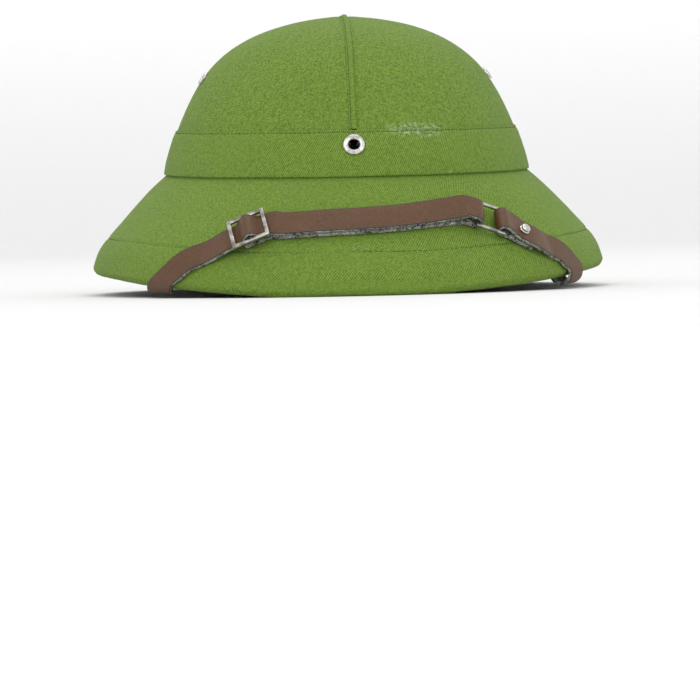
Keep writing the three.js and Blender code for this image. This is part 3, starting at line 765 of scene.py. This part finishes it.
bright_nickel = nickel_finish(
    "bright_nickel", 600, (0.42, 0.41, 0.38), (0.62, 0.61, 0.58), 0.12, 0.26
)
badge = turned_piece(
    "badge_eyelet", eyelet_profile(5.15, 3.1, 2.45, 1.15, 1.2), badge_seat, bright_nickel, 64
)
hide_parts("front_eyelet")
for name, seat in vent_seats.items():
    vent = turned_piece(
        f"vent_{name}", eyelet_profile(3.4, 2.5, 1.9, 0.95, 0.4), seat, bright_nickel
    )
    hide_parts(f"vent_eyelet_{name}")

# Chin strap: bridle leather, smooth brown on its grain side and grey and hairy on its flesh side,
# with dark-painted arrises. It is pinned inside on both sides, comes out under the brim, wraps
# its edge and runs over the front: through the slide, round the ring and back as a second layer.
strap_width, strap_wall, strap_side_gap = 0.0126, 0.002, 0.0004
slide_length, ring_length, frame_bar, frame_wall, ring_bar = 0.018, 0.015, 0.0018, 0.0016, 0.0015

# A lift is the space between the hat and the strap: bare on the cloth, stacked on the lower layer.
bare_lift, bend_gap = 0.0004, 0.0005
stacked_lift = bare_lift + strap_wall + 0.0004
bar_lift = stacked_lift + strap_wall + bend_gap
hump_rise = bar_lift + frame_wall + bend_gap - stacked_lift
fold_radius = ring_bar / math.sqrt(2) + bend_gap + strap_wall / 2
ring_centre = bare_lift + strap_wall / 2 + fold_radius
ring_lift = ring_centre + fold_radius - strap_wall / 2
slide = {"turn": -24.75, "at": 0.545, "run": -0.0164}
ring = {"turn": 32.6, "at": 0.485, "run": 0.015}
pin_turn, pin_rise = 66, 0.15

# Each row is a turn, an at, the space under the strap in millimetres, and how far the strap's
# cross lines follow the brim's edge.
long_start = [
    (-67.2, 3.215, 0.4, 0), (-66, 3.15, 0.4, 0), (-64.8, 3.07, 0.4, 0), (-63.8, 3.0, 0.7, 0),
    (-62.5, 2.9, 0.7, 0), (-59.5, 2.65, 0.4, 0), (-56, 2.4, 0.4, 0.1), (-52.5, 2.15, 0.7, 0.7),
    (-50.1, 2.0, 0.7, 1), (-48.7, 1.75, 0.7, 1), (-47.2, 1.5, 0.7, 1), (-45.7, 1.25, 0.7, 1),
    (-44.2, 1.0, 0.7, 1), (-43, 0.95, 0.7, 0.9), (-41, 0.88, 0.7, 0.6), (-38, 0.79, 0.7, 0.25),
    (-34.8, 0.72, 0.4, 0),
]
short_end = [
    (44.6, 0.725, 1.96, 0), (47, 0.77, 0.7, 0), (49.3, 0.82, 0.7, 0.3), (51.4, 0.885, 0.7, 0.7),
    (52.8, 0.95, 1.0, 1), (53.6, 1.0, 1.2, 1), (54, 1.25, 1.7, 1), (54.4, 1.5, 2.1, 1),
    (54.8, 1.75, 2.5, 1), (55.2, 2.0, 2.6, 1), (56.2, 2.15, 2.0, 0.7), (58.2, 2.4, 1.2, 0.1),
    (60.8, 2.65, 0.4, 0), (63, 2.9, 0.7, 0), (63.9, 3.0, 0.7, 0), (64.8, 3.07, 0.4, 0),
    (66, 3.15, 0.4, 0), (67.2, 3.215, 0.4, 0),
]

# Each row is a turn, an at, and how far the upper layer has risen towards the ring's height.
front_run = [
    (-17, 0.475, 0), (-8, 0.457, 0), (1, 0.445, 0), (10, 0.427, 0), (17.5, 0.406, 0.15),
    (24, 0.396, 0.5),
]
short_stack = [(38, 0.568, 0.35), (40.1, 0.622, 0), (42.3, 0.675, 0)]


def metres(rows):
    return [(turn, at, lift / 1000, ruled) for turn, at, lift, ruled in rows]


def upper_lift(opened):
    """Space under the upper layer: 0 flat on the lower one, 1 on top of the ring."""
    return stacked_lift + (ring_lift - stacked_lift) * opened


def row_from(place, distance, lift):
    """A row that far along the strap from the middle of the slide or the ring."""
    turn, at, run = place["turn"], place["at"], place["run"]
    on = distance / along_hat(turn, at, run).length
    return turn + on, at + on * run, lift, 0


# Ways along the wrapped hat at each whole at: over the brim, round the edge, under it and inside.
at_ways = [0, 0.055, 0.069, 0.124, 0.261]


def way_of(at):
    """Metres along the wrapped hat, from the crown's foot to an at."""
    k = min(int(at), 3)
    return at_ways[k] + (at_ways[k + 1] - at_ways[k]) * (at - k)


def at_of(way):
    """The at that lies so many metres along the wrapped hat."""
    k = max(n for n in range(4) if at_ways[n] <= way or n == 0)
    return k + (way - at_ways[k]) / (at_ways[k + 1] - at_ways[k])


def finer(rows, steps):
    """The same rows with smooth ones between them."""
    rows = [(turn, way_of(at), lift, ruled) for turn, at, lift, ruled in rows]
    found = []
    for k in range(len(rows) - 1):
        near = [rows[max(0, min(len(rows) - 1, k + n))] for n in (-1, 0, 1, 2)]
        for step in range(steps):
            found.append([smooth_value(*values, step / steps) for values in zip(*near)])
    return [(turn, at_of(way), lift, ruled) for turn, way, lift, ruled in found + [rows[-1]]]


def eased(share):
    share = min(1, max(0, share))
    return share * share * (3 - 2 * share)


def hat_face(turn, at):
    """A point on the wrapped hat anywhere along the strap's way, and the direction off it."""
    edge_out = edge_axes(turn)[1]
    if at <= 1:
        out = skin_normal(turn, at - 0.04, min(1, at + 0.04))
        return skin_point(turn, at), out.lerp(edge_out, eased((at - 0.84) / 0.16)).normalized()
    if at < 2:
        point = edge_point(turn, (at - 1) * 180, edge_radius)
        return point, (point - edge_axes(turn)[0]).normalized()
    place = 3 - at
    out = -skin_normal(turn, place - 0.04, min(1, place + 0.04))
    point = skin_point(turn, place) + out * under_face
    turned = eased((at - 2) / 0.16)
    edge = edge_point(turn, 180, edge_radius)
    return edge.lerp(point, eased((at - 2) / 0.05)), (-edge_out).lerp(out, turned).normalized()


def rim_direction(turn):
    return (edge_axes(turn + 1)[0] - edge_axes(turn - 1)[0]).normalized()


def strap_lines(rows, face_down=False):
    """The strap's cross lines: middle, the side that its grain faces, the edge's way and ruled."""
    lines = []
    for turn, at, lift, ruled in rows:
        point, out = hat_face(turn, at)
        middle = point + out * (lift + strap_wall / 2)
        lines.append((middle, -out if face_down else out, rim_direction(turn), ruled))
    return lines


slide_pitch = (slide_length - frame_bar) / 2
ring_reach = (ring_length - ring_bar) / 2


def hump_row(share):
    """A row over the slide's middle bar, at a share of the way to one of its end bars."""
    wave = 0.5 + 0.5 * math.cos(math.pi * share / 0.8) if abs(share) < 0.8 else 0
    return row_from(slide, share * slide_pitch, stacked_lift + hump_rise * wave)


def fold_lines(side, from_top):
    """Round a cross bar of the ring, from the upper layer to the lower one or back."""
    turn, at, lift, ruled = row_from(ring, -side * ring_reach, 0)
    point, out = hat_face(turn, at)
    along = along_hat(turn, at, ring["run"]).normalized()
    centre = point + out * ring_centre
    lines = []
    for angle in range(78, -79, -12):
        a = math.radians(angle)
        facing = out * math.sin(a) + along * (side * math.cos(a))
        lines.append((centre + facing * fold_radius, facing, rim_direction(turn), 0))
    return lines if from_top else lines[::-1]


# Half of the strap's section in millimetres, from the middle of its flesh side round one edge.
half_section = [
    (0, -1), (2.1, -1), (4.2, -1), (5.8, -0.98), (6.16, -0.82), (6.3, -0.45), (6.3, 0),
    (6.28, 0.42), (6.2, 0.72), (6.0, 0.9), (5.7, 0.97), (5.35, 0.92), (4.9, 0.95), (3.4, 0.96),
    (1.7, 0.97), (0, 0.97),
]
strap_section = half_section + [(-across, height) for across, height in half_section[-2::-1]]
section_ways = [0]
for start, end in zip(strap_section, strap_section[1:]):
    section_ways.append(section_ways[-1] + math.dist(start, end))

# Half the strap's width and how far up its edges the hair reaches, in millimetres.
edge_across, hair_top = 6.3, 0.6

# How far round the section the grain side reaches from its middle, in metres, and how much longer
# a slanting cross line may get to keep the strap's width.
grain_edge, widest_stretch = 0.0063, 1.42


def even_lines(lines, step):
    """The cross lines respaced evenly, with small kinks smoothed out."""
    for _ in range(2):
        lines = [lines[0]] + [
            ((a[0] + b[0] * 2 + c[0]) / 4, (a[1] + b[1] * 2 + c[1]).normalized(), b[2], b[3])
            for a, b, c in zip(lines, lines[1:], lines[2:])
        ] + [lines[-1]]
    reached = [0]
    for a, b in zip(lines, lines[1:]):
        reached.append(reached[-1] + (b[0] - a[0]).length)
    count = round(reached[-1] / step)
    found, k = [], 0
    for n in range(count + 1):
        distance = reached[-1] * n / count
        while k < len(reached) - 2 and reached[k + 1] < distance:
            k += 1
        t = (distance - reached[k]) / max(1e-9, reached[k + 1] - reached[k])
        a, b = lines[k], lines[k + 1]
        facing, rim = a[1].lerp(b[1], t).normalized(), a[2].lerp(b[2], t).normalized()
        found.append((a[0].lerp(b[0], t), facing, rim, a[3] + (b[3] - a[3]) * t, distance))
    return found


def leather_strap(lines):
    """Lays the strap's section along its cross lines, hairy on the flesh side and the edges."""
    frames = []
    for k, (middle, facing, rim, ruled, distance) in enumerate(lines):
        run = (lines[min(k + 1, len(lines) - 1)][0] - lines[max(k - 1, 0)][0]).normalized()
        across = run.cross(facing).normalized()
        toward = rim * (ruled if across.dot(rim) > 0 else -ruled)
        ruling = (across * (1 - ruled) + toward).normalized()
        stretch = min(widest_stretch, 1 / run.cross(ruling).length)
        frames.append((middle, facing, ruling * stretch, distance))

    def point(k, n):
        middle, facing, ruling, distance = frames[k]
        across, height = strap_section[n]
        spot = middle + ruling * (across / 1000) + facing * (height / 1000)
        if height < hair_top:
            hair = noise.noise(spot * 1500) * 0.00011 + noise.noise(spot * 600) * 0.00009
            outward = ruling.normalized() * (across / edge_across) + facing * min(0, height)
            spot += outward * (hair - 0.00004)
        else:
            spot += facing * noise.noise(spot * 120) * 0.00006
        return spot

    def flat(k, n):
        return frames[k][3], (section_ways[n] - section_ways[-1] / 2) / 1000

    form = laid_sheet(range(len(frames)), range(len(strap_section)), point, flat)
    weave = form.loops.layers.uv["weave"]
    for face in form.faces:
        from_middle = sum(abs(loop[weave].uv.y) for loop in face.loops) / len(face.loops)
        face.material_index = 0 if from_middle < grain_edge else 1
    ends = [edge for edge in form.edges if edge.is_boundary]
    for cap in bmesh.ops.holes_fill(form, edges=ends, sides=0)["faces"]:
        cap.material_index = 1
    bmesh.ops.recalc_face_normals(form, faces=form.faces)
    return form


def grain_finish():
    material, shader, spot = new_finish("brown_grain_leather")
    weave = weave_spot(spot)
    across = weave.axis(1)
    from_middle = across.maths("ABSOLUTE", across)
    painted = from_middle.between(0.00572, 0.00600)
    creased = from_middle.between(0.0050, 0.00535) * (1 - from_middle.between(0.00535, 0.0057))
    pores = spot.node("ShaderNodeTexVoronoi", {}, {"Vector": spot, "Scale": 1900.0})
    streak = weave.scaled(60, 900, 1).grain(1, 3)
    cloud = spot.grain(75, 3)
    rubbed = spot.grain(160, 4, 0.7).between(0.56, 0.74)
    speck = spot.grain(900, 2, 0.7).between(0.3, 0.7)
    shade = cloud * 0.35 + streak * 0.25 + speck * 0.4
    colour = shade.mixed((0.049, 0.016, 0.003), (0.118, 0.051, 0.015))
    colour = (rubbed * 0.3).mixed(colour, (0.150, 0.086, 0.050))
    colour = (creased * 0.35).mixed(colour, (0.030, 0.014, 0.010))
    lead(shader, "Base Color", painted.mixed(colour, (0.010, 0.008, 0.008)))
    lead(shader, "Roughness", cloud * 0.16 + pores * 0.12 + 0.32)
    shader.inputs["Specular IOR Level"].default_value = 0.4
    raise_grain(shader, pores * 0.5 + streak * 0.35 + cloud * 0.6 - creased * 1.2, 0.00010, 0.55)
    return material


def flesh_finish():
    material, shader, spot = new_finish("grey_flesh_leather")
    hair = spot.grain(1300, 4, 0.75)
    clump = spot.grain(380, 3, 0.6)
    fuzz = (hair * 0.65 + clump * 0.35).between(0.40, 0.57)
    lead(shader, "Base Color", fuzz.mixed((0.024, 0.026, 0.021), (0.46, 0.47, 0.41)))
    shader.inputs["Roughness"].default_value = 0.95
    shader.inputs["Specular IOR Level"].default_value = 0.15
    raise_grain(shader, fuzz + hair, 0.00035, 0.9)
    return material


front_upper = (
    [hump_row(1.35)]
    + [(turn, at, upper_lift(opened), 0) for turn, at, opened in front_run]
    + [
        row_from(ring, -ring_reach - strap_width / 2, upper_lift(0.8)),
        row_from(ring, -ring_reach - fold_radius, ring_lift),
        row_from(ring, -ring_reach, ring_lift),
    ]
)
front_lower = (
    [
        row_from(ring, -ring_reach, bare_lift),
        row_from(ring, -ring_reach - strap_width / 2, bare_lift),
    ]
    + [(turn, at, bare_lift, 0) for turn, at, opened in front_run[::-1]]
    + [row_from(slide, slide_pitch, bare_lift), row_from(slide, -slide_pitch / 2, bare_lift)]
)
long_lines = (
    strap_lines(finer(metres(long_start) + [hump_row(-1.35)], 10))
    + strap_lines([hump_row(share / 20) for share in range(-26, 27)])
    + strap_lines(finer(front_upper, 16))
    + fold_lines(1, from_top=True)
    + strap_lines(finer(front_lower, 16), face_down=True)
)
short_lower = [(turn, at, bare_lift, 0) for turn, at, opened in short_stack[::-1]]
short_lower.append(row_from(ring, ring_reach, bare_lift))
short_upper = [row_from(ring, ring_reach, ring_lift)]
short_upper += [(turn, at, upper_lift(opened), 0) for turn, at, opened in short_stack]
short_lines = (
    strap_lines(finer(short_lower, 10), face_down=True)
    + fold_lines(-1, from_top=False)
    + strap_lines(finer(short_upper + metres(short_end), 10))
)
leathers = [grain_finish(), flesh_finish()]
for name, lines in (("strap_long", long_lines), ("strap_short", short_lines)):
    form = leather_strap(even_lines(lines, 0.0007))
    strap = made_piece(f"{name}_leather", form, leathers)
    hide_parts(name)

# Slide and ring: flat frames stamped from nickel-plated steel, with worn and rounded edges. The
# slide's middle bar carries the strap's hump.
worn_nickel = nickel_finish(
    "worn_nickel", 240, (0.20, 0.18, 0.16), (0.50, 0.48, 0.45), 0.22, 0.45
)


def metal_frame(name, length, bars, bar, wall, seat):
    """A flat frame with that many cross bars, as wide inside as the strap and its gaps."""
    window = strap_width + 2 * strap_side_gap
    pitch = (length - bar) / (bars - 1)
    middles = [-length / 2 + bar / 2 + k * pitch for k in range(bars)]
    along = [middle + side * bar / 2 for middle in middles for side in (-1, 1)]
    across = [-window / 2 - bar, -window / 2, window / 2, window / 2 + bar]
    form = laid_sheet(along, across, lambda x, y: Vector((x, y, 0)), lambda x, y: (x, y))
    windows = []
    for face in form.faces:
        centre = face.calc_center_median()
        on_bar = any(abs(centre.x - middle) < bar / 2 for middle in middles)
        if abs(centre.y) < window / 2 and not on_bar:
            windows.append(face)
    bmesh.ops.delete(form, geom=windows, context="FACES")
    bmesh.ops.transform(form, matrix=seat, verts=form.verts)
    made = made_piece(name, form, [worn_nickel], wall, wall_side=0)
    rounded = made.modifiers.new("rounded", "BEVEL")
    rounded.width = 0.0004
    rounded.segments = 3
    rounded.limit_method = "ANGLE"
    return made


slide_seat = seat_at(slide["turn"], slide["at"], bar_lift + frame_wall / 2, slide["run"])
ring_seat = seat_at(ring["turn"], ring["at"], ring_centre, ring["run"])
strap_slide = metal_frame("slide_frame", slide_length, 3, frame_bar, frame_wall, slide_seat)
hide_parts("strap_slide")
strap_ring = metal_frame("ring_frame", ring_length, 2, ring_bar, ring_bar, ring_seat)
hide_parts("strap_ring")

# Stud: a small domed nickel button on a collar, which closes the short strap's folded end. Its
# shank is riveted through both layers of the leather.
stud_turn, stud_at = short_stack[1][:2]
stud_base = (stacked_lift + strap_wall + bend_gap) * 1000
dome_radius, dome_height = 2.3, 1.15
stud_profile = [
    (0, 0.4), (1.4, 0.4), (1.4, stud_base - 0.3), (2.35, stud_base - 0.3),
    (2.5, stud_base - 0.05), (2.3, stud_base + 0.2), (2.05, stud_base + 0.3),
]
for angle in range(-25, 91, 8):
    a = math.radians(angle)
    stud_profile.append((dome_radius * math.cos(a), stud_base + 1.0 + dome_height * math.sin(a)))
stud_profile[-1] = (0, stud_profile[-1][1])
stud = turned_piece("strap_stud_button", stud_profile, seat_at(stud_turn, stud_at, 0), bright_nickel)
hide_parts("strap_stud")

# Pins: plain flat-headed rivets of worn nickel, one through each end of the strap. They hold the
# leather to the shell, inside the crown.
pin_top = (under_face - lining_face + bare_lift + strap_wall + clearance) * 1000
pin_profile = [
    (0, -2), (1.4, -2), (1.4, pin_top), (3.9, pin_top), (4, pin_top + 0.2),
    (3.9, pin_top + 0.7), (3.2, pin_top + 1.05), (1.8, pin_top + 1.2), (0, pin_top + 1.2),
]
for side, name in ((-1, "left"), (1, "right")):
    seat = seat_at(side * pin_turn, -pin_rise, -lining_face) @ Matrix.Rotation(math.pi, 4, "X")
    pin = turned_piece(f"strap_rivet_{name}", pin_profile, seat, worn_nickel, 32)
    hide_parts(f"strap_pin_{name}")

# Studio: a pale round floor that curves up far away, soft lights from above and in front, and the
# camera in front of the helmet, low above the floor and a little to the left.
def floor_finish():
    material, shader, spot = new_finish("pale_floor")
    # Painted light: the floor turns whiter as it curves up into the wall, making up for the weaker
    # light the wall gets, so that floor and wall look equally bright.
    painted_wall_light = spot.axis(2).between(0, 0.6)
    lead(shader, "Base Color", painted_wall_light.mixed((0.73, 0.73, 0.73), (0.97, 0.97, 0.97)))
    shader.inputs["Roughness"].default_value = 0.9
    return material


floor_reach, floor_curve, wall_top, curve_steps = 2.4, 1, 1.6, 8
floor_profile = [(0, 0), (floor_reach, 0)]
for step in range(1, curve_steps + 1):
    a = step / curve_steps * math.pi / 2
    floor_profile.append((floor_reach + floor_curve * math.sin(a), floor_curve * (1 - math.cos(a))))
floor_profile.append((floor_reach + floor_curve, wall_top))
floor_form = spun_form(floor_profile, 64)
if floor_form.faces[0].normal.z < 0:
    bmesh.ops.reverse_faces(floor_form, faces=floor_form.faces)
floor = new_object("studio_floor", floor_form, [floor_finish()])

lit_middle = Vector((0, -0.005, 0.06))
for name, place, size, power in (
    ("key_light", (-1.0, -2.3, 2.2), 1.5, 17),
    ("fill_light", (1.2, -2.3, 1.6), 1.5, 9),
    ("top_light", (0.1, 0.7, 2.8), 1.8, 14),
):
    lamp = bpy.data.lights.new(name, "AREA")
    lamp.shape = "DISK"
    lamp.size = size
    lamp.energy = power
    light = bpy.data.objects.new(name, lamp)
    light.location = place
    light.rotation_euler = (lit_middle - Vector(place)).to_track_quat("-Z", "Y").to_euler()
    bpy.context.scene.collection.objects.link(light)

world = bpy.data.worlds.new("studio_air")
world.use_nodes = True
air = world.node_tree.nodes["Background"]
air.inputs["Color"].default_value = (1.0, 1.0, 1.0, 1)
air.inputs["Strength"].default_value = 1.05
bpy.context.scene.world = world
bpy.context.scene.view_settings.view_transform = "Standard"

lens = bpy.data.cameras.new("camera")
lens.sensor_width = 36
lens.lens = 157.7
lens.clip_start = 0.01
lens.clip_end = 20
camera = bpy.data.objects.new("camera", lens)
yaw, lift_angle, distance = 0.036, -0.0175, 1.5

# The aimed point stands 178 pixels above the picture's middle, and the focal length is 3066 pixels.
pitch, roll = -math.atan(178 / 3066), -0.021
away = Vector((
    -math.sin(yaw) * math.cos(lift_angle),
    -math.cos(yaw) * math.cos(lift_angle),
    math.sin(lift_angle),
))
aim = Vector((0, -0.005, 0.0575))
camera.location = aim + away * distance
look = (-away).to_track_quat("-Z", "Y").to_matrix().to_4x4()
look = look @ Matrix.Rotation(pitch, 4, "X") @ Matrix.Rotation(roll, 4, "Z")
camera.rotation_euler = look.to_euler()
bpy.context.scene.collection.objects.link(camera)
bpy.context.scene.camera = camera
